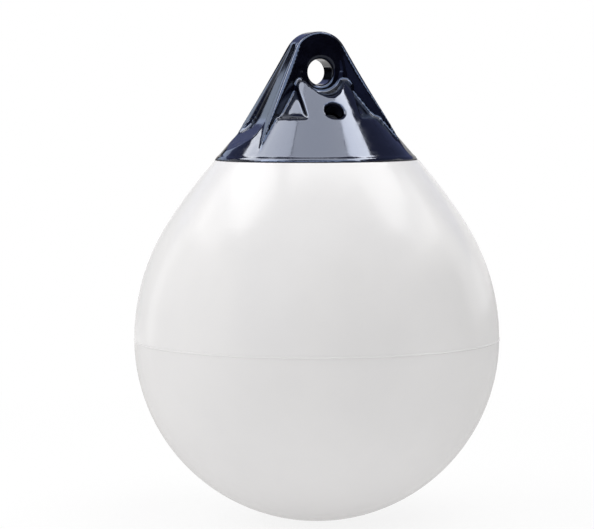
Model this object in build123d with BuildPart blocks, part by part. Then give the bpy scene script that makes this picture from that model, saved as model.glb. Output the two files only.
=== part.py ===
import math
import os

from build123d import *

os.makedirs("parts", exist_ok=True)

# Overall sizes in millimetres, origin at the centre of the rope eye, +Z up, valve on -Y
float_diameter = 370.0
overall_length = 495.0
cap_diameter = 205.5
cap_height = 129.0
eye_to_top = 40.5

# Float shell
float_wall = 2.6
crown_rise = 28.5
belly_pull = 65.0
seam_width = 2.6
seam_height = 0.6
shoulder_step = 0.9
shoulder_round = 0.7

# Rope hold: skirt cone and its rim
cone_angle = 40.5
skirt_edge = 7.0
lip_height = 4.0
lip_step = 0.8

# Rope hold: upright frame that carries the eye, with four ribs
frame_top_radius = 28.5
frame_side_slope = 0.5
web_half = 16.7
web_slope = 0.12
web_break = 24.0
rib_foot_top = 5.0
rib_foot_mid = 22.0
rib_foot_low = 44.0
rib_flank = 57.0
rib_start = 27.0
rib_mid_drop = 55.0
rib_mid_depth = 35.5
rib_end_drop = 107.0
rib_end_depth = 62.5
rib_end_height = 8.5
rib_cone_slope = 0.6
rib_round = 1.6

# Rope eye and the flat it is cut in
eye_diameter = 26.2
eye_round = 3.3
flat_radius = 22.0
flat_top_half = 17.0
ledge_corner = 5.0
ledge_front = 10.75
ledge_round = 30.0
ledge_turn = 40.0

# Pockets beside the valve boss
boss_half = 25.6
boss_rise = 4.0
boss_flank = 12.0
pocket_depth = 4.0
pocket_turn = 40.0
shelf_z = -46.5

# Side grooves between the ribs
groove_top_z = 29.0
groove_slope = 0.437
groove_knee_z = -51.4
groove_ramp = 1.35
groove_round = 40.0
groove_half_top = 5.5
groove_flare = 0.28

# Valve
valve_height = 50.3
recess_diameter = 19.4
recess_round = 0.8
plug_sink = 16.0
plug_head_diameter = 16.0
plug_head_height = 4.0
plug_slot_width = 2.6
plug_slot_depth = 2.2
plug_shank_diameter = 10.0
plug_shank_length = 14.0
thread_clearance = 0.25
seal_height = 1.5
seat_flange_height = 2.5
seat_tube_diameter = 15.0
seat_clearance = 0.15
seat_reach = 5.0

# Derived levels and radii
cap_top_z = eye_to_top
rim_z = cap_top_z - cap_height
float_bottom_z = cap_top_z - overall_length
float_radius = float_diameter / 2
equator_z = float_bottom_z + float_radius
rim_radius = cap_diameter / 2
cone_slope = math.tan(math.radians(cone_angle))
cone_sin = math.sin(math.radians(cone_angle))
cone_cos = math.cos(math.radians(cone_angle))
crown_radius = rim_radius - skirt_edge
crown_top_z = rim_z + crown_rise
cone_top_z = -web_half / 2
eye_radius = eye_diameter / 2
arch_z = cap_top_z - frame_top_radius
span = 2 * cap_diameter

# Valve axis stands square to the skirt cone on the front
valve_z = rim_z + valve_height
valve_radius = rim_radius - cone_slope * valve_height
axis_out = (0, -cone_cos, cone_sin)
valve_mouth = Plane(origin=(0, -valve_radius, valve_z), x_dir=(1, 0, 0), z_dir=axis_out)
head_bottom = plug_sink + plug_head_height
seal_bottom = head_bottom + seal_height
recess_depth = seal_bottom + seat_flange_height


def cone_radius(z):
    return rim_radius - cone_slope * (z - rim_z)


def frame_half(z):
    return frame_top_radius * math.hypot(1, frame_side_slope) - frame_side_slope * (z - arch_z)


def web_half_at(z):
    return web_half + web_slope * max(0, web_break - z)


def depth_to_crown(inset):
    # Depth along the valve axis, from its mouth, to the crown of the float
    bulge = (crown_radius ** 2 + crown_rise ** 2) / (2 * crown_rise)
    height = valve_z - (crown_top_z - bulge)
    along = valve_radius * cone_cos + height * cone_sin
    away = valve_radius ** 2 + height ** 2 - (bulge - inset) ** 2
    return along - math.sqrt(along ** 2 - away)


def dome_middle(edge, top_z):
    # Point halfway along a round dome from its edge up to its top on the axis
    drop = top_z - edge[1]
    bulge = (edge[0] ** 2 + drop ** 2) / (2 * drop)
    half = math.asin(edge[0] / bulge) / 2
    return (bulge * math.sin(half), top_z - bulge * (1 - math.cos(half)))


def float_face(inset, rim_round):
    # Half section of the float: ball below, two smooth arcs up to the rim, crown on top
    upright = Vector(0, 1)
    lean = Vector(-cone_sin, cone_cos)
    rim = Vector(rim_radius + shoulder_step, rim_z) - Vector(cone_cos, cone_sin) * inset
    low = Vector(0, float_bottom_z + inset)
    side = Vector(float_radius - inset, equator_z)
    half = side.X * math.sqrt(0.5)
    reach = rim - side
    gap = 1 - upright.dot(lean)
    pull = belly_pull
    rest = (reach.dot(reach) / 2 - pull * reach.dot(upright)) / (reach.dot(lean) + pull * gap)
    knee = side + upright * pull
    heel = rim - lean * rest
    meet = knee + (heel - knee) * (pull / (pull + rest))
    edge = Vector(crown_radius - inset, rim.Y)
    top = Vector(0, crown_top_z - inset)
    with BuildSketch(Plane.XZ) as face:
        with BuildLine():
            ThreePointArc(low, (half, equator_z - half), side)
            TangentArc(side, meet, tangent=upright)
            TangentArc(meet, rim, tangent=heel - knee)
            Line(rim, edge)
            ThreePointArc(edge, dome_middle((edge.X, edge.Y), top.Y), top)
            Line(top, low)
        make_face()
        if rim_round > 0:
            corner = face.vertices().sort_by_distance((rim.X, rim.Y, 0))[0]
            fillet(corner, rim_round)
    return face.sketch


def frame_outline(inset):
    # Front view of the frame: round top, straight sides down past the rim
    tilt = math.hypot(1, frame_side_slope)
    radius = frame_top_radius - inset
    low_z = rim_z - 10
    touch_x = radius / tilt
    touch_z = arch_z + radius * frame_side_slope / tilt
    low_x = touch_x + frame_side_slope * (touch_z - low_z)
    with BuildSketch(Plane.XZ) as face:
        with BuildLine():
            ThreePointArc((-touch_x, touch_z), (0, arch_z + radius), (touch_x, touch_z))
            Line((touch_x, touch_z), (low_x, low_z))
            Line((low_x, low_z), (-low_x, low_z))
            Line((-low_x, low_z), (-touch_x, touch_z))
        make_face()
    return face.sketch


tube_end = depth_to_crown(float_wall) + seat_reach
outer_skin = float_face(0, shoulder_round)
inner_skin = float_face(float_wall, 0)
frame_front = frame_outline(0)

# Float: hollow moulded shell, closed at the top by a crown under the rope hold
with BuildPart() as float_body:
    add(outer_skin)
    revolve(axis=Axis.Z)
    with BuildSketch(Plane.XZ) as seam:
        with Locations((float_radius, equator_z)):
            Trapezoid(seam_width, seam_height * 2, 60, rotation=-90)
    revolve(axis=Axis.Z)
    add(inner_skin)
    revolve(axis=Axis.Z, mode=Mode.SUBTRACT)
    with BuildSketch(valve_mouth) as passage:
        Circle(seat_tube_diameter / 2)
    extrude(amount=-2 * tube_end, mode=Mode.SUBTRACT)
float_body.part.label = "float_body"

# Upright frame: full block to the rib crests, its outer edges rounded
with BuildPart() as frame:
    extrude(frame_front, amount=span, dir=(0, 1, 0), both=True)
    with BuildSketch(Plane.YZ.offset(-span)) as crest_side:
        with BuildLine():
            foot = (rib_end_depth, rib_start - rib_end_drop)
            Line((0, cap_top_z + 1), (web_half, cap_top_z + 1))
            Line((web_half, cap_top_z + 1), (web_half, rib_start))
            ThreePointArc((web_half, rib_start), (rib_mid_depth, rib_start - rib_mid_drop), foot)
            Line(foot, (0, foot[1]))
            Line((0, foot[1]), (0, cap_top_z + 1))
        make_face()
        mirror(about=Plane.YZ)
    extrude(amount=2 * span, mode=Mode.INTERSECT)
    crests = frame.edges().filter_by(lambda edge: edge.center().Z > foot[1] + 1)
    crests = crests.filter_by(lambda edge: edge.length > web_half * 1.2)
    crests = crests.filter_by(lambda edge: abs(edge.tangent_at(0.5).Y) < 0.8)
    fillet(crests, rib_round)
    # The rib crests lie on a cone steeper than the skirt and die out near its rim
    with BuildSketch(Plane.XZ) as crest_cone:
        with BuildLine():
            end_z = rim_z + rib_end_height
            low_radius = cone_radius(end_z) + rib_cone_slope * (end_z - rim_z)
            top_radius = low_radius - rib_cone_slope * (cap_top_z + 1 - rim_z)
            Polyline(
                (0, rim_z),
                (low_radius, rim_z),
                (top_radius, cap_top_z + 1),
                (0, cap_top_z + 1),
                close=True,
            )
        make_face()
    revolve(axis=Axis.Z, mode=Mode.INTERSECT)
    # Windows between the ribs, front and back, with leaning flanks
    for face_side in (-1, 1):
        lean = math.hypot(1, web_slope)
        window_plane = Plane(
            origin=(0, face_side * web_half, web_break),
            x_dir=(-face_side, 0, 0),
            z_dir=(0, face_side, web_slope),
        )
        with BuildSketch(window_plane) as window:
            with BuildLine():
                mid_z = rib_start - rib_mid_drop
                mid_run = (web_break - mid_z) * lean
                run = (web_break - rim_z) * lean
                top_half = frame_half(web_break) - rib_foot_top
                mid_half = frame_half(mid_z) - rib_foot_mid
                low_half = frame_half(rim_z) - rib_foot_low
                Polyline(
                    (-top_half, 0),
                    (top_half, 0),
                    (mid_half, -mid_run),
                    (low_half, -run),
                    (-low_half, -run),
                    (-mid_half, -mid_run),
                    close=True,
                )
            make_face()
        extrude(amount=rib_end_depth, taper=-rib_flank, mode=Mode.SUBTRACT)

# Valve boss: a block square to the valve axis, its flanks leaning outwards below the skirt's face
with BuildPart() as boss:
    with BuildSketch(valve_mouth.offset(boss_rise)) as boss_front:
        Rectangle(2 * boss_half, span)
    extrude(amount=-2 * boss_half, taper=-boss_flank)
    mirror(about=Plane.XZ)

# Pockets between the boss and the ribs: a cone inside the skirt, swept out to a rounded shelf
with BuildPart() as pockets:
    with BuildSketch(Plane.XZ) as scoop:
        with BuildLine():
            down = Vector(cone_sin, -cone_cos)
            out = Vector(cone_cos, cone_sin)
            turn = math.radians(pocket_turn)
            sweep = pocket_depth / (1 - math.cos(turn))
            shelf = Vector(cone_radius(shelf_z), shelf_z)
            start = shelf - down * (sweep * math.sin(turn)) - out * pocket_depth
            middle = start + down * (sweep * math.sin(turn / 2)) + out * (sweep * (1 - math.cos(turn / 2)))
            top = start + down * (start.Y / cone_cos)
            far = shelf + (down * math.cos(turn) + out * math.sin(turn)) * rim_radius
            Line(top, start)
            ThreePointArc(start, middle, shelf)
            Line(shelf, far)
            Line(far, (far.X, 0))
            Line((far.X, 0), top)
        make_face()
    revolve(axis=Axis.Z)
    add(boss.part, mode=Mode.SUBTRACT)
    Box(span, 2 * web_half_at(cone_top_z), span, mode=Mode.SUBTRACT)

# Side grooves between the ribs
with BuildPart() as grooves:
    with BuildSketch(Plane.XZ) as groove_floor:
        with BuildLine():
            top_x = math.sqrt(frame_top_radius ** 2 - (groove_top_z - arch_z) ** 2)
            knee_x = top_x + groove_slope * (groove_top_z - groove_knee_z)
            end_x = knee_x + groove_ramp * (groove_knee_z - rim_z)
            Polyline(
                (top_x, groove_top_z),
                (knee_x, groove_knee_z),
                (end_x, rim_z),
                (end_x, groove_top_z),
                close=True,
            )
        make_face()
        knee = groove_floor.vertices().sort_by_distance((knee_x, groove_knee_z, 0))[0]
        fillet(knee, groove_round)
    extrude(amount=span, both=True)
    with BuildSketch(Plane.YZ.offset(-span)) as groove_side:
        with BuildLine():
            wide = groove_half_top + groove_flare * (groove_top_z - rim_z)
            Polyline(
                (-groove_half_top, groove_top_z),
                (groove_half_top, groove_top_z),
                (wide, rim_z),
                (-wide, rim_z),
                close=True,
            )
        make_face()
    extrude(amount=2 * span, mode=Mode.INTERSECT)
    mirror(about=Plane.YZ)

# Rope hold: skirt cone with the frame standing on it
with BuildPart() as rope_hold:
    with BuildSketch(Plane.XZ) as skirt:
        with BuildLine():
            lip_z = rim_z + lip_height
            Polyline(
                (0, rim_z),
                (rim_radius, rim_z),
                (cone_radius(lip_z) + lip_step, lip_z),
                (cone_radius(lip_z + lip_step), lip_z + lip_step),
                (cone_radius(cone_top_z), cone_top_z),
                (0, cone_top_z),
                close=True,
            )
        make_face()
    revolve(axis=Axis.Z)
    add(pockets.part, mode=Mode.SUBTRACT)
    add(frame.part)
    add(grooves.part, mode=Mode.SUBTRACT)
    # Flats around the eye and the rounded ledge below it, front and back
    for face_side in (-1, 1):
        with BuildSketch(Plane.YZ) as ledge:
            with BuildLine():
                bend = math.radians(ledge_turn)
                bed_run = cone_radius(-flat_radius) - ledge_front - web_half
                start = (face_side * (web_half + max(bed_run, 1.2 * ledge_corner)), flat_radius)
                middle = (
                    start[0] + face_side * ledge_round * math.sin(bend / 2),
                    start[1] + ledge_round * (1 - math.cos(bend / 2)),
                )
                end = (
                    start[0] + face_side * ledge_round * math.sin(bend),
                    start[1] + ledge_round * (1 - math.cos(bend)),
                )
                away = rim_radius
                out = (end[0] + face_side * away, end[1] + away * math.tan(bend))
                foot = (face_side * web_half, flat_radius - ledge_corner)
                bed = (face_side * (web_half + ledge_corner), flat_radius)
                sag = ledge_corner * (1 - math.sqrt(0.5))
                bottom = (face_side * (web_half + sag), flat_radius - sag)
                Line((face_side * web_half, 0), foot)
                ThreePointArc(foot, bottom, bed)
                Line(bed, start)
                ThreePointArc(start, middle, end)
                Line(end, out)
                Line(out, (out[0], 0))
                Line((out[0], 0), (face_side * web_half, 0))
            make_face()
        revolve(axis=Axis.Y, mode=Mode.SUBTRACT)
        with BuildSketch(Plane.XZ.offset(-face_side * web_half)) as eye_flat:
            with BuildLine():
                Polyline(
                    (-flat_radius, 0),
                    (flat_radius, 0),
                    (flat_top_half, cap_top_z),
                    (-flat_top_half, cap_top_z),
                    close=True,
                )
            make_face()
        extrude(amount=-face_side * span, mode=Mode.SUBTRACT)
    with BuildSketch(Plane.XZ) as eye:
        Circle(eye_radius)
    extrude(amount=span, both=True, mode=Mode.SUBTRACT)
    eye_rims = rope_hold.edges().filter_by(GeomType.CIRCLE)
    eye_rims = eye_rims.filter_by(lambda rim: abs(rim.radius - eye_radius) < 0.01)
    fillet(eye_rims, eye_round)
    # Valve recess and the passage below it
    with BuildSketch(valve_mouth) as recess:
        Circle(recess_diameter / 2)
    extrude(amount=-recess_depth, mode=Mode.SUBTRACT)
    extrude(recess.sketch, amount=recess_diameter, mode=Mode.SUBTRACT)
    mouths = rope_hold.edges().filter_by(
        lambda edge: (edge.center() - valve_mouth.origin).length < recess_diameter * 0.6
    )
    mouths = mouths.filter_by(
        lambda edge: abs((edge.center() - valve_mouth.origin).dot(valve_mouth.z_dir)) < 3
    )
    fillet(mouths, recess_round)
    with BuildSketch(valve_mouth) as passage:
        Circle(seat_tube_diameter / 2)
    extrude(amount=-2 * tube_end, mode=Mode.SUBTRACT)
    # Hollow underside that sits on the crown of the float
    with BuildSketch(Plane.XZ) as crown:
        with BuildLine():
            edge = (crown_radius, rim_z)
            Line((0, rim_z), edge)
            ThreePointArc(edge, dome_middle(edge, crown_top_z), (0, crown_top_z))
            Line((0, crown_top_z), (0, rim_z))
        make_face()
    revolve(axis=Axis.Z, mode=Mode.SUBTRACT)
rope_hold.part.label = "rope_hold"

# Valve seat: flanged bush bonded in the bottom of the recess
with BuildPart() as valve_seat:
    with BuildSketch(valve_mouth.offset(-recess_depth)) as flange:
        Circle(recess_diameter / 2 - seat_clearance)
    extrude(amount=seat_flange_height)
    with BuildSketch(valve_mouth.offset(-recess_depth)) as tube:
        Circle(seat_tube_diameter / 2 - seat_clearance)
    extrude(amount=-(tube_end - recess_depth))
    with BuildSketch(valve_mouth) as thread_bore:
        Circle(plug_shank_diameter / 2 + thread_clearance)
    extrude(amount=-2 * tube_end, mode=Mode.SUBTRACT)
valve_seat.part.label = "valve_seat"

# Sealing washer under the head of the plug
with BuildPart() as valve_seal:
    with BuildSketch(valve_mouth.offset(-seal_bottom)) as washer:
        Circle(plug_head_diameter / 2 - seat_clearance)
        Circle(plug_shank_diameter / 2 + thread_clearance, mode=Mode.SUBTRACT)
    extrude(amount=seal_height)
valve_seal.part.label = "valve_seal"

# Slotted plug screwed into the seat
with BuildPart() as valve_plug:
    with BuildSketch(valve_mouth.offset(-head_bottom)) as head:
        Circle(plug_head_diameter / 2)
    extrude(amount=plug_head_height)
    with BuildSketch(valve_mouth.offset(-head_bottom)) as shank:
        Circle(plug_shank_diameter / 2)
    extrude(amount=-(seal_height + plug_shank_length))
    with BuildSketch(valve_mouth.offset(-plug_sink)) as slot:
        Rectangle(plug_head_diameter + 2, plug_slot_width)
    extrude(amount=-plug_slot_depth, mode=Mode.SUBTRACT)
valve_plug.part.label = "valve_plug"

for piece in (float_body, rope_hold, valve_seat, valve_seal, valve_plug):
    export_step(piece.part, "parts/" + piece.part.label + ".step")
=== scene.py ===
import math

import bmesh
import bpy
from mathutils import Matrix, Vector


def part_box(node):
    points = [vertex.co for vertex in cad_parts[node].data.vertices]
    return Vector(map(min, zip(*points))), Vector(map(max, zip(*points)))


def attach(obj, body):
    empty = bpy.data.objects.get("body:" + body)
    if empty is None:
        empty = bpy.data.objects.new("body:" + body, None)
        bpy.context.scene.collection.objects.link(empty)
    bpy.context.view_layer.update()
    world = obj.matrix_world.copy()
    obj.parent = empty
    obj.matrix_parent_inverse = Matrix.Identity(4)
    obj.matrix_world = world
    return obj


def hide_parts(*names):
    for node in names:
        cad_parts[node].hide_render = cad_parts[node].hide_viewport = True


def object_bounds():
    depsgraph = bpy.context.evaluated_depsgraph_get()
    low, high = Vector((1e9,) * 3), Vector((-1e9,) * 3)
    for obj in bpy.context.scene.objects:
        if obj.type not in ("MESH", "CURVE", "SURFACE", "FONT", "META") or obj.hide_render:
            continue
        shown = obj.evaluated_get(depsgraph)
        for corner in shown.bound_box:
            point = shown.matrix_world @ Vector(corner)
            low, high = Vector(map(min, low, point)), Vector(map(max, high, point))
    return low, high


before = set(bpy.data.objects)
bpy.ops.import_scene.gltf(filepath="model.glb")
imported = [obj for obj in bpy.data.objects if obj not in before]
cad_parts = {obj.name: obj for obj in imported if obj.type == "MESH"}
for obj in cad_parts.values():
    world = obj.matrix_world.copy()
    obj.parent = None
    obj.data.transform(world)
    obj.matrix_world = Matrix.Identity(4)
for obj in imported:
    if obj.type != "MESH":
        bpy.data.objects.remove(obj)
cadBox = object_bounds()
scene = bpy.context.scene
scene.view_settings.view_transform = "Standard"
print("frame loaded:", ", ".join(sorted(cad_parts)))


# where the picture is taken from
shot = {
    "imageWidth": 594,
    "focalPixels": 2440.0,
    "sensorWidth": 36.0,
    "azimuth": -18.0,     # degrees, the camera stands left of the valve
    "distance": 2.468,    # metres from the buoy's axis
    "height": -0.015,     # just under the rope eye
    "pitch": -4.16,       # degrees, looking down
    "yaw": 0.457,         # degrees, turned left of the axis
    "roll": -0.2,
    "clipNear": 0.05,
    "clipFar": 200.0,
}
upward = Vector((0, 0, 1))
stand = math.radians(shot["azimuth"])
towardCamera = Vector((math.sin(stand), -math.cos(stand), 0))
cameraRight = Vector((-towardCamera.y, towardCamera.x, 0))


def makeCamera():
    data = bpy.data.cameras.new("shotCamera")
    data.sensor_width = shot["sensorWidth"]
    data.lens = shot["focalPixels"] * shot["sensorWidth"] / shot["imageWidth"]
    data.clip_start = shot["clipNear"]
    data.clip_end = shot["clipFar"]
    camera = bpy.data.objects.new("shotCamera", data)
    scene.collection.objects.link(camera)
    turn = Matrix.Rotation(math.radians(shot["azimuth"] + shot["yaw"]), 4, "Z")
    lean = Matrix.Rotation(math.radians(90 + shot["pitch"]), 4, "X")
    roll = Matrix.Rotation(math.radians(shot["roll"]), 4, "Z")
    place = towardCamera * shot["distance"] + upward * shot["height"]
    camera.matrix_world = Matrix.Translation(place) @ turn @ lean @ roll
    scene.camera = camera


makeCamera()
print("camera set")


def addNode(tree, kind, **settings):
    node = tree.nodes.new(kind)
    for name, value in settings.items():
        setattr(node, name, value)
    return node


def setSockets(node, values):
    for name, value in values.items():
        node.inputs[name].default_value = value
    return node


def newMaterial(name):
    material = bpy.data.materials.new(name)
    material.use_nodes = True
    material.node_tree.nodes.clear()
    return material, material.node_tree


def showSurface(tree, shader):
    out = addNode(tree, "ShaderNodeOutputMaterial")
    tree.links.new(shader.outputs[0], out.inputs["Surface"])


def noise(tree, coords, cells):
    node = addNode(tree, "ShaderNodeTexNoise")
    setSockets(node, {"Scale": cells["size"], "Detail": cells["detail"], "Roughness": cells["grit"]})
    tree.links.new(coords, node.inputs["Vector"])
    return node.outputs["Fac"]


def remap(tree, value, span, target):
    node = addNode(tree, "ShaderNodeMapRange", clamp=True)
    setSockets(node, {"From Min": span[0], "From Max": span[1], "To Min": target[0], "To Max": target[1]})
    tree.links.new(value, node.inputs["Value"])
    return node.outputs["Result"]


def mixColour(tree, factor, colours):
    node = addNode(tree, "ShaderNodeMix", data_type="RGBA")
    tree.links.new(factor, node.inputs["Factor"])
    for socket, colour in zip(node.inputs[6:8], colours):  # the two colour sockets
        socket.default_value = colour
    return node.outputs[2]


def bump(tree, coords, layer, normal):
    node = addNode(tree, "ShaderNodeBump")
    setSockets(node, {"Strength": layer["strength"], "Distance": layer["depth"]})
    tree.links.new(noise(tree, coords, layer), node.inputs["Height"])
    if normal is not None:
        tree.links.new(normal, node.inputs["Normal"])
    return node.outputs["Normal"]


# clouded colour, rubbed gloss and moulded relief, all from the piece's own coordinates
def makeFinish(name, look):
    material, tree = newMaterial(name)
    shell = setSockets(addNode(tree, "ShaderNodeBsdfPrincipled"), look["gloss"])
    coords = addNode(tree, "ShaderNodeTexCoord").outputs["Object"]
    cloud = remap(tree, noise(tree, coords, look["cloud"]), look["cloud"]["span"], (0, 1))
    tree.links.new(mixColour(tree, cloud, look["colours"]), shell.inputs["Base Color"])
    rub = remap(tree, noise(tree, coords, look["rub"]), look["rub"]["span"], look["rough"])
    tree.links.new(rub, shell.inputs["Roughness"])
    normal = None
    if "edge" in look:
        soft = addNode(tree, "ShaderNodeBevel", samples=look["edge"]["samples"])
        setSockets(soft, {"Radius": look["edge"]["radius"]})
        normal = soft.outputs["Normal"]
    for layer in look["relief"]:
        normal = bump(tree, coords, layer, normal)
    tree.links.new(normal, shell.inputs["Normal"])
    showSurface(tree, shell)
    return material


def dress(node, material):
    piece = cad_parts[node]
    piece.data.materials.clear()
    piece.data.materials.append(material)


# white glossy float, its sizes in cells per metre and its depths in metres
floatLook = {
    "colours": ((0.808, 0.798, 0.796, 1), (0.784, 0.775, 0.774, 1)),     # faint clouding of the vinyl
    "cloud": {"size": 14.0, "detail": 4.0, "grit": 0.5, "span": (0.35, 0.7)},
    "rub": {"size": 38.0, "detail": 6.0, "grit": 0.6, "span": (0.35, 0.7)},
    "rough": (0.16, 0.26),
    "gloss": {"IOR": 1.5, "Specular IOR Level": 0.24},                   # mirrors less than the hold
    "relief": (
        {"size": 9.0, "detail": 1.0, "grit": 0.5, "depth": 0.0012, "strength": 0.5},    # long waves
        {"size": 95.0, "detail": 2.0, "grit": 0.5, "depth": 0.00012, "strength": 0.6},  # orange peel
    ),
}
dress("float_body", makeFinish("floatVinyl", floatLook))


# black nylon valve seat and plug
valveLook = {
    "colours": ((0.030, 0.030, 0.034, 1), (0.060, 0.060, 0.066, 1)),
    "cloud": {"size": 260.0, "detail": 5.0, "grit": 0.6, "span": (0.45, 0.75)},
    "rub": {"size": 260.0, "detail": 5.0, "grit": 0.6, "span": (0.3, 0.75)},
    "rough": (0.38, 0.55),
    "gloss": {"IOR": 1.5},
    "edge": {"samples": 6, "radius": 0.0004},
    "relief": ({"size": 900.0, "detail": 2.0, "grit": 0.5, "depth": 0.00006, "strength": 0.5},),
}
valvePlastic = makeFinish("valvePlastic", valveLook)
dress("valve_seat", valvePlastic)
dress("valve_plug", valvePlastic)


# soft sealing washer, with a little bloom on the rubber
sealLook = {
    "colours": ((0.020, 0.020, 0.020, 1), (0.045, 0.044, 0.042, 1)),
    "cloud": {"size": 420.0, "detail": 4.0, "grit": 0.6, "span": (0.4, 0.8)},
    "rub": {"size": 420.0, "detail": 4.0, "grit": 0.6, "span": (0.3, 0.8)},
    "rough": (0.6, 0.8),
    "gloss": {"IOR": 1.5},
    "relief": ({"size": 1400.0, "detail": 2.0, "grit": 0.5, "depth": 0.00005, "strength": 0.6},),
}
dress("valve_seal", makeFinish("sealRubber", sealLook))
print("finishes on")


# dark blue rope hold, polished out of the mould
holdLook = {
    "colours": ((0.0018, 0.0019, 0.0048, 1), (0.0036, 0.0040, 0.0095, 1)),
    "cloud": {"size": 60.0, "detail": 5.0, "grit": 0.6, "span": (0.4, 0.72)},
    "rub": {"size": 120.0, "detail": 6.0, "grit": 0.65, "span": (0.35, 0.75)},
    "rough": (0.07, 0.16),
    "gloss": {"IOR": 1.5, "Specular Tint": (0.72, 0.80, 1.0, 1)},        # cool tint of the polish
    "relief": ({"size": 30.0, "detail": 2.0, "grit": 0.5, "depth": 0.00025, "strength": 0.4},),
}

# every edge of the hold flows into the next
softLook = {
    "grain": 0.00122,      # metres between the points of the casting
    "rounds": 10,          # more rounds give softer edges
    "pull": 0.5,           # how far a point goes to its neighbours' middle in a round
    "lipKeep": 0.10,       # share of the softening that the skirt's lip gets
    "lipTop": 0.004,       # metres above the skirt's foot
    "lipFade": 0.006,
}


def castHold():
    cast = bpy.data.objects.new("holdCast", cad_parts["rope_hold"].data.copy())
    scene.collection.objects.link(cast)
    melt = cast.modifiers.new("melt", "REMESH")
    melt.mode = "VOXEL"
    melt.voxel_size = softLook["grain"]
    melt.use_smooth_shade = True
    settled = cast.evaluated_get(bpy.context.evaluated_depsgraph_get())
    mesh = bpy.data.meshes.new_from_object(settled)
    bpy.data.objects.remove(cast)
    return mesh


def makeSoftHold():
    look = softLook
    mesh = castHold()
    hold = bpy.data.objects.new("softHold", mesh)
    scene.collection.objects.link(hold)
    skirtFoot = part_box("rope_hold")[0][2]
    shares = hold.vertex_groups.new(name="soften")
    for point in mesh.vertices:
        rise = (point.co.z - skirtFoot - look["lipTop"]) / look["lipFade"]
        share = look["lipKeep"] + (1 - look["lipKeep"]) * min(max(rise, 0), 1)
        shares.add((point.index,), share, "REPLACE")
    ease = hold.modifiers.new("ease", "SMOOTH")
    ease.factor = look["pull"]
    ease.iterations = look["rounds"]
    ease.vertex_group = shares.name
    mesh.materials.clear()
    mesh.materials.append(makeFinish("holdVinyl", holdLook))
    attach(hold, "buoy")
    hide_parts("rope_hold")
    print("hold softened:", len(mesh.polygons), "faces")
    return hold


softHold = makeSoftHold()


# pale studio: white floor and surround
studio = {
    "white": (1, 1, 1, 1),
    "fill": 0.76,          # strength of the white surround on the object
    "floorHalf": 14.0,     # metres
    "floorWhite": (0.97, 0.97, 0.97, 1),
    "glowNear": 0.80,      # share of plain white in the floor beside the buoy
    "nearRing": 0.25,      # metres from the axis where that share starts to grow
    "farRing": 1.1,        # metres where the floor is plain white
    "bounce": 0.40,        # share of plain white that the floor gives back to the object
}


def addMath(tree, operation, first, second):
    node = addNode(tree, "ShaderNodeMath", operation=operation)
    tree.links.new(first, node.inputs[0])
    tree.links.new(second, node.inputs[1])
    return node.outputs[0]


def mixShaders(tree, share, first, second):
    node = addNode(tree, "ShaderNodeMixShader")
    for socket, source in zip(node.inputs, (share, first.outputs[0], second.outputs[0])):
        tree.links.new(source, socket)
    return node


# rays that see the background: the camera's, mirrored ones and those through glass
def seenRays(tree):
    rays = addNode(tree, "ShaderNodeLightPath").outputs
    seen = addMath(tree, "MAXIMUM", rays["Is Camera Ray"], rays["Is Glossy Ray"])
    return addMath(tree, "MAXIMUM", seen, rays["Is Transmission Ray"])


def makeWorld():
    world = bpy.data.worlds.new("studioWhite")
    scene.world = world
    world.use_nodes = True
    tree = world.node_tree
    tree.nodes.clear()
    fill = addNode(tree, "ShaderNodeBackground")
    setSockets(fill, {"Color": studio["white"], "Strength": studio["fill"]})
    white = addNode(tree, "ShaderNodeBackground")
    setSockets(white, {"Color": studio["white"], "Strength": 1.0})
    out = addNode(tree, "ShaderNodeOutputWorld")
    tree.links.new(mixShaders(tree, seenRays(tree), fill, white).outputs[0], out.inputs["Surface"])


def makePanel(name, centre, across, along):
    mesh = bpy.data.meshes.new(name)
    panel = bmesh.new()
    corners = []
    for sideways, lengthways in ((-1, -1), (1, -1), (1, 1), (-1, 1)):
        corners.append(panel.verts.new(centre + across * sideways + along * lengthways))
    panel.faces.new(corners)
    panel.to_mesh(mesh)
    panel.free()
    sheet = bpy.data.objects.new(name, mesh)
    scene.collection.objects.link(sheet)
    return sheet


# the floor turns to plain white away from the buoy, and keeps its shadow near it
def makeFloor():
    half = studio["floorHalf"]
    foot = upward * cadBox[0].z
    floor = makePanel("paperFloor", foot, Vector((half, 0, 0)), Vector((0, half, 0)))
    material, tree = newMaterial("floorPaper")
    paper = setSockets(addNode(tree, "ShaderNodeBsdfDiffuse"), {"Color": studio["floorWhite"]})
    glow = addNode(tree, "ShaderNodeEmission")
    setSockets(glow, {"Color": studio["white"], "Strength": 1.0})
    flat = addNode(tree, "ShaderNodeVectorMath", operation="MULTIPLY")
    flat.inputs[1].default_value = (1, 1, 0)
    tree.links.new(addNode(tree, "ShaderNodeTexCoord").outputs["Object"], flat.inputs[0])
    reach = addNode(tree, "ShaderNodeVectorMath", operation="LENGTH")
    tree.links.new(flat.outputs["Vector"], reach.inputs[0])
    rings = (studio["nearRing"], studio["farRing"])
    grown = remap(tree, reach.outputs["Value"], rings, (studio["glowNear"], 1.0))
    least = addNode(tree, "ShaderNodeMath", operation="MAXIMUM")
    least.inputs[1].default_value = studio["bounce"]
    tree.links.new(addMath(tree, "MULTIPLY", seenRays(tree), grown), least.inputs[0])
    showSurface(tree, mixShaders(tree, least.outputs[0], paper, glow))
    floor.data.materials.append(material)


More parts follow.
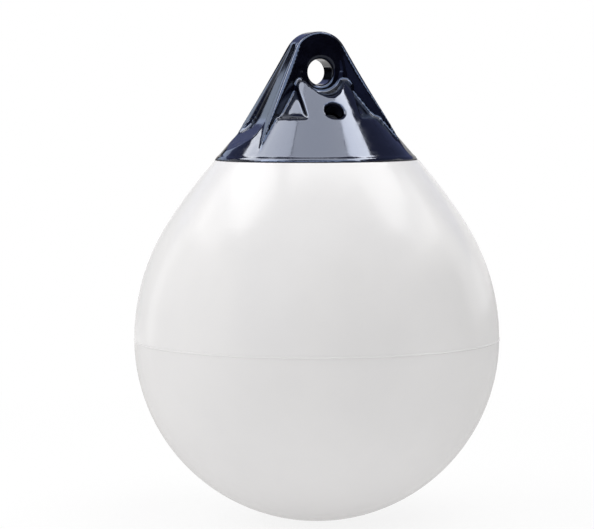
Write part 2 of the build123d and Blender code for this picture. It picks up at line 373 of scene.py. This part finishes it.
# cloths and grey paper that are only mirrored, and flags that only shade;
# turn is in degrees from the camera's side, left is negative, and the rest is in metres
cloths = {
    "felts": {
        "black": (0.004, 0.004, 0.005, 1),
        "blueGrey": (0.15, 0.18, 0.36, 1),
        "grey": (0.60, 0.59, 0.59, 1),
    },
    "paper": (0.64, 0.63, 0.62, 1),      # glows, so no shadow shows in it
    "ceiling": 1.75,
    "ceilingHalf": 2.4,
    "paperGap": 0.002,                   # grey paper lies just over the floor
    "paperHalf": 1.6,
    "sheets": (
        {
            "name": "frontCloth", "felt": "black",
            "turn": 22, "away": 1.9, "halfWidth": 1.35, "low": -0.40, "high": 1.75,
        },
        {
            "name": "frontLeftCloth", "felt": "blueGrey",
            "turn": -32, "away": 1.9, "halfWidth": 0.75, "low": -0.40, "high": 1.75,
        },
        {
            "name": "rightCloth", "felt": "black",
            "turn": 70, "away": 1.9, "halfWidth": 1.6, "low": -0.40, "high": 0.75,
        },
        {
            "name": "backCloth", "felt": "blueGrey",
            "turn": 180, "away": 1.9, "halfWidth": 2.4, "low": 0.42, "high": 1.75,
        },
        {
            "name": "backLeftCloth", "felt": "black",
            "turn": -146, "away": 1.9, "halfWidth": 0.62, "low": -0.40, "high": 0.45,
        },
        {
            "name": "lowBackCloth", "felt": "grey",
            "turn": 180, "away": 1.9, "halfWidth": 1.7, "low": -0.45, "high": 0.42,
        },
        {
            "name": "eyeCard", "felt": "black",      # close behind the rope eye
            "turn": -148, "away": 0.12, "halfWidth": 0.03, "low": -0.02, "high": 0.06,
        },
        {
            "name": "lowCard", "felt": "grey",       # low at the back on the right
            "turn": 140, "away": 1.0, "halfWidth": 0.8, "low": -0.45, "high": -0.22,
        },
    ),
    "flags": (
        {"name": "frontFlag", "turn": 0, "away": 1.2, "halfWidth": 0.42, "low": -0.32, "high": 0.05},
        {"name": "leftFlag", "turn": -100, "away": 1.2, "halfWidth": 0.7, "low": -0.40, "high": -0.10},
        {"name": "rightFlag", "turn": 95, "away": 1.2, "halfWidth": 1.0, "low": -0.40, "high": 0.0},
    ),
}


def turned(degrees):
    return Matrix.Rotation(math.radians(degrees), 3, "Z") @ towardCamera


def hangCloth(sheet):
    outward = turned(sheet["turn"])
    across = Vector((-outward.y, outward.x, 0)) * sheet["halfWidth"]
    half = (sheet["high"] - sheet["low"]) / 2
    centre = outward * sheet["away"] + upward * (sheet["low"] + half)
    return makePanel(sheet["name"], centre, across, upward * half)


def layCloth(name, height, half):
    return makePanel(name, upward * height, cameraRight * half, towardCamera * half)


def makeFelts():
    felts = {}
    for name, colour in cloths["felts"].items():
        felts[name], tree = newMaterial(name + "Cloth")
        showSurface(tree, setSockets(addNode(tree, "ShaderNodeBsdfDiffuse"), {"Color": colour}))
    felts["paper"], tree = newMaterial("paperCloth")
    glow = addNode(tree, "ShaderNodeEmission")
    showSurface(tree, setSockets(glow, {"Color": cloths["paper"], "Strength": 1.0}))
    return felts


def makeCloths():
    felts = makeFelts()
    hung = [(hangCloth(sheet), sheet["felt"]) for sheet in cloths["sheets"]]
    hung.append((layCloth("topCloth", cloths["ceiling"], cloths["ceilingHalf"]), "blueGrey"))
    overFloor = cadBox[0].z + cloths["paperGap"]
    hung.append((layCloth("greyPaper", overFloor, cloths["paperHalf"]), "paper"))
    for cloth, felt in hung:
        cloth.data.materials.append(felts[felt])
        cloth.visible_camera = False
        cloth.visible_diffuse = False
        cloth.visible_shadow = False
        cloth.visible_transmission = False
    for sheet in cloths["flags"]:
        flag = hangCloth(sheet)
        flag.data.materials.append(felts["black"])
        flag.visible_camera = False
        flag.visible_glossy = False
        flag.visible_transmission = False


# overhead strips that one piece mirrors, with their reach to the camera's right and towards it in metres
stripHeight = 1.3
strips = (
    {
        "name": "stripFarLeft", "on": "hold", "radiance": 9.0,
        "sideways": (-1.55, -0.85), "nearness": (-0.95, 0.50),
    },
    {
        "name": "stripLeft", "on": "hold", "radiance": 9.0,
        "sideways": (-0.85, -0.62), "nearness": (-0.32, 0.50),
    },
    {
        "name": "stripNearLeft", "on": "hold", "radiance": 9.0,
        "sideways": (-0.62, -0.46), "nearness": (-0.05, 0.50),
    },
    {
        "name": "stripMiddle", "on": "hold", "radiance": 6.4,
        "sideways": (-0.44, 0.58), "nearness": (-0.03, 0.60),
    },
    {
        "name": "stripRight", "on": "hold", "radiance": 13.5,
        "sideways": (0.60, 1.00), "nearness": (-0.50, 0.50),
    },
    {
        "name": "patchLeft", "on": "float", "radiance": 6.3,
        "sideways": (-1.45, -0.65), "nearness": (-0.90, 0.45),
    },
    {
        "name": "patchFarLeft", "on": "float", "radiance": 2.2,
        "sideways": (-2.40, -1.45), "nearness": (-1.20, 0.20),
    },
    {
        "name": "patchMiddle", "on": "float", "radiance": 5.5,
        "sideways": (-0.45, 0.60), "nearness": (-0.05, 0.48),
    },
    {
        "name": "patchRight", "on": "float", "radiance": 6.3,
        "sideways": (0.60, 1.50), "nearness": (-0.60, 0.35),
    },
    {
        "name": "patchFarRight", "on": "float", "radiance": 2.2,
        "sideways": (1.50, 2.50), "nearness": (-1.20, 0.20),
    },
)

# standing softboxes, turned from the camera's side and raised, in degrees;
# those on all pieces only light, those on one piece are only mirrored in it
glintBlue = (0.68, 0.80, 1.0)
plain = (1, 1, 1)
boxes = (
    {
        "name": "keyLeft", "on": "all", "radiance": 0.95, "colour": plain,
        "turn": -80, "raise": 30, "away": 1.8, "wide": 2.0, "tall": 2.0,
    },
    {
        "name": "keyTop", "on": "all", "radiance": 0.35, "colour": plain,
        "turn": 45, "raise": 60, "away": 1.8, "wide": 2.2, "tall": 1.6,
    },
    {
        "name": "keyRight", "on": "all", "radiance": 1.1, "colour": plain,
        "turn": 85, "raise": 68, "away": 1.8, "wide": 1.6, "tall": 1.6,
    },
    {
        "name": "backGlint", "on": "hold", "radiance": 1.1, "colour": glintBlue,
        "turn": -139, "raise": 12.6, "away": 1.7, "wide": 1.04, "tall": 0.54,
    },
    {
        "name": "rimFront", "on": "hold", "radiance": 6.0, "colour": glintBlue,
        "turn": 15, "raise": 46, "away": 1.5, "wide": 2.2, "tall": 0.8,
    },
    {
        "name": "rimLeft", "on": "hold", "radiance": 6.0, "colour": glintBlue,
        "turn": -62, "raise": 42, "away": 1.5, "wide": 0.9, "tall": 0.8,
    },
    {
        "name": "limbLeft", "on": "float", "radiance": 0.66, "colour": plain,
        "turn": -150, "raise": 12, "away": 1.6, "wide": 2.2, "tall": 1.5,
    },
    {
        "name": "limbRight", "on": "float", "radiance": 0.40, "colour": plain,
        "turn": 142, "raise": 18, "away": 1.6, "wide": 2.2, "tall": 1.5,
    },
)


def addLamp(name, centre, target, upright, size, radiance):
    data = bpy.data.lights.new(name, "AREA")
    data.shape = "RECTANGLE"
    data.size, data.size_y = size
    data.energy = radiance * math.pi * data.size * data.size_y
    lamp = bpy.data.objects.new(name, data)
    scene.collection.objects.link(lamp)
    ahead = (target - centre).normalized()
    right = ahead.cross(upright).normalized()
    axes = Matrix((right, right.cross(ahead), -ahead)).transposed()
    lamp.matrix_world = Matrix.Translation(centre) @ axes.to_4x4()
    lamp.visible_camera = False
    return lamp


def makeReceivers():
    valve = [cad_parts[name] for name in ("valve_seat", "valve_seal", "valve_plug")]
    receivers = {}
    for name, pieces in (("hold", [softHold] + valve), ("float", [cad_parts["float_body"]])):
        receivers[name] = bpy.data.collections.new(name + "Receiver")
        for piece in pieces:
            receivers[name].objects.link(piece)
    return receivers


def mirrorOnly(lamp, receiver):
    lamp.visible_diffuse = False
    lamp.light_linking.receiver_collection = receiver


def makeLamps():
    receivers = makeReceivers()
    for strip in strips:
        left, right = strip["sideways"]
        back, near = strip["nearness"]
        centre = cameraRight * ((left + right) / 2) + towardCamera * ((back + near) / 2)
        centre.z = stripHeight
        size = (right - left, near - back)
        lamp = addLamp(strip["name"], centre, centre - upward, -towardCamera, size, strip["radiance"])
        mirrorOnly(lamp, receivers[strip["on"]])
    eye = Vector((0, 0, 0))
    for box in boxes:
        rise = math.radians(box["raise"])
        centre = (turned(box["turn"]) * math.cos(rise) + upward * math.sin(rise)) * box["away"]
        size = (box["wide"], box["tall"])
        lamp = addLamp(box["name"], centre, eye, upward, size, box["radiance"])
        lamp.data.color = box["colour"]
        if box["on"] == "all":
            lamp.visible_glossy = False
        else:
            mirrorOnly(lamp, receivers[box["on"]])


makeWorld()
makeFloor()
makeCloths()
makeLamps()
print("studio lit")
